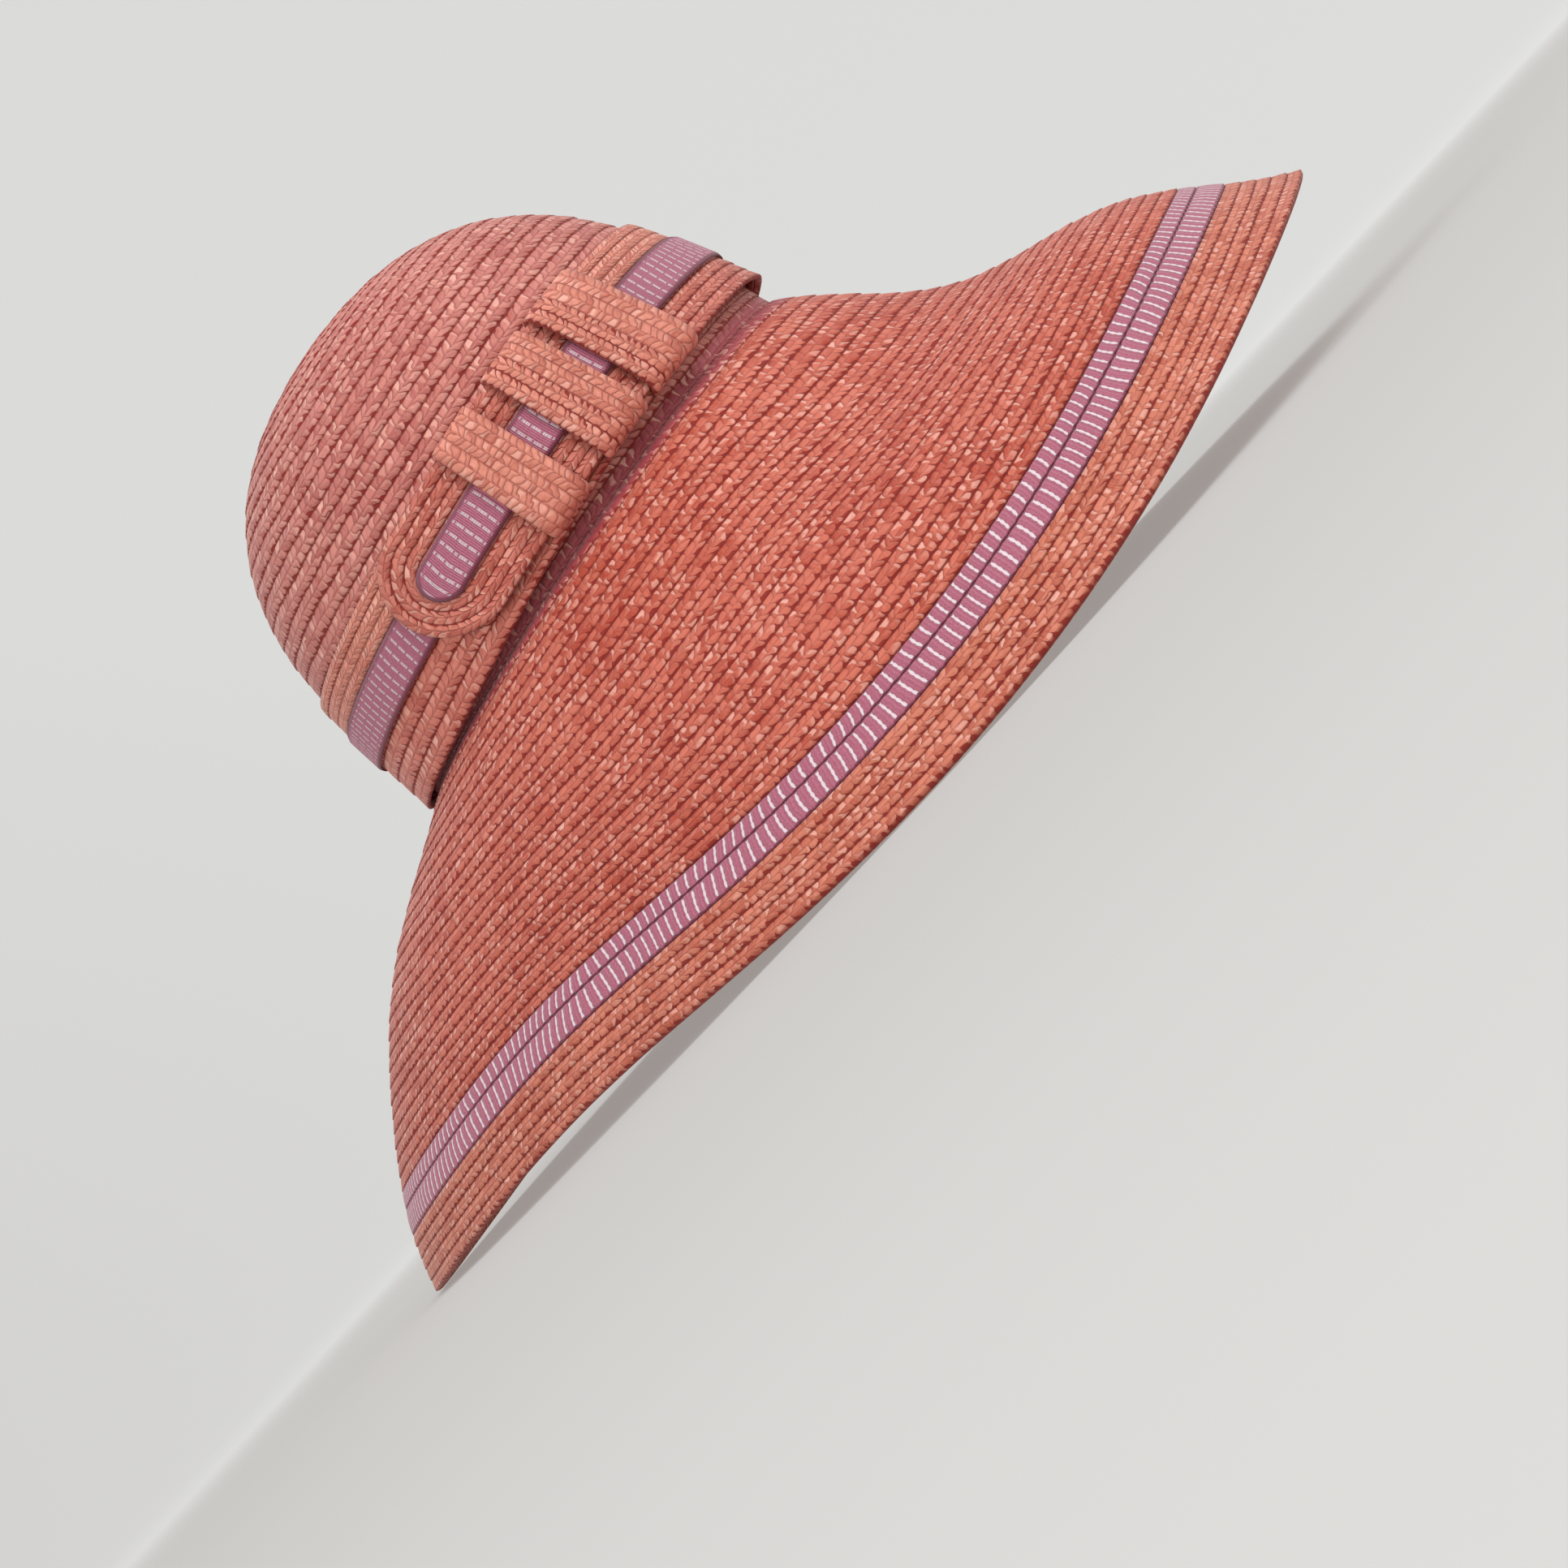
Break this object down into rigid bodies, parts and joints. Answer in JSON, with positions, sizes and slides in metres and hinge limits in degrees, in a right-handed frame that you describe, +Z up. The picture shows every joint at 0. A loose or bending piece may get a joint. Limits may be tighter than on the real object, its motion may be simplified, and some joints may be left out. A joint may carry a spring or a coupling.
{
  "type": "wide brim straw hat",
  "caption": "Wide brim sun hat of sewn straw braid with a deep round crown, a drooping brim, woven ribbon trim and a strapped tab on one side.",
  "frame": {"origin": "on the surface that the hat stands on, below the middle of its bounding box", "axes": "+X towards the front of the hat, +Y towards its left side, +Z up; the tab and straps are on the right side, at -Y"},
  "size_m": [0.478, 0.4202, 0.2519],
  "materials": {
    "straw": "sewn straw braid, slightly glossy",
    "plait": "flat straw plait, slightly glossy",
    "ribbon": "ribbed woven ribbon with pale dashes"
  },
  "bodies": {
    "root": {"crown": "straw", "brim": "straw", "brim_ribbon_upper": "ribbon", "brim_ribbon_lower": "ribbon", "brim_edge": "straw", "hat_band": "straw", "band_top_braid": "plait", "band_ribbon": "ribbon", "side_tab": "straw", "tab_ribbon": "ribbon", "strap_back": "plait", "strap_middle": "plait", "strap_front": "plait"}
  },
  "joints": []
}
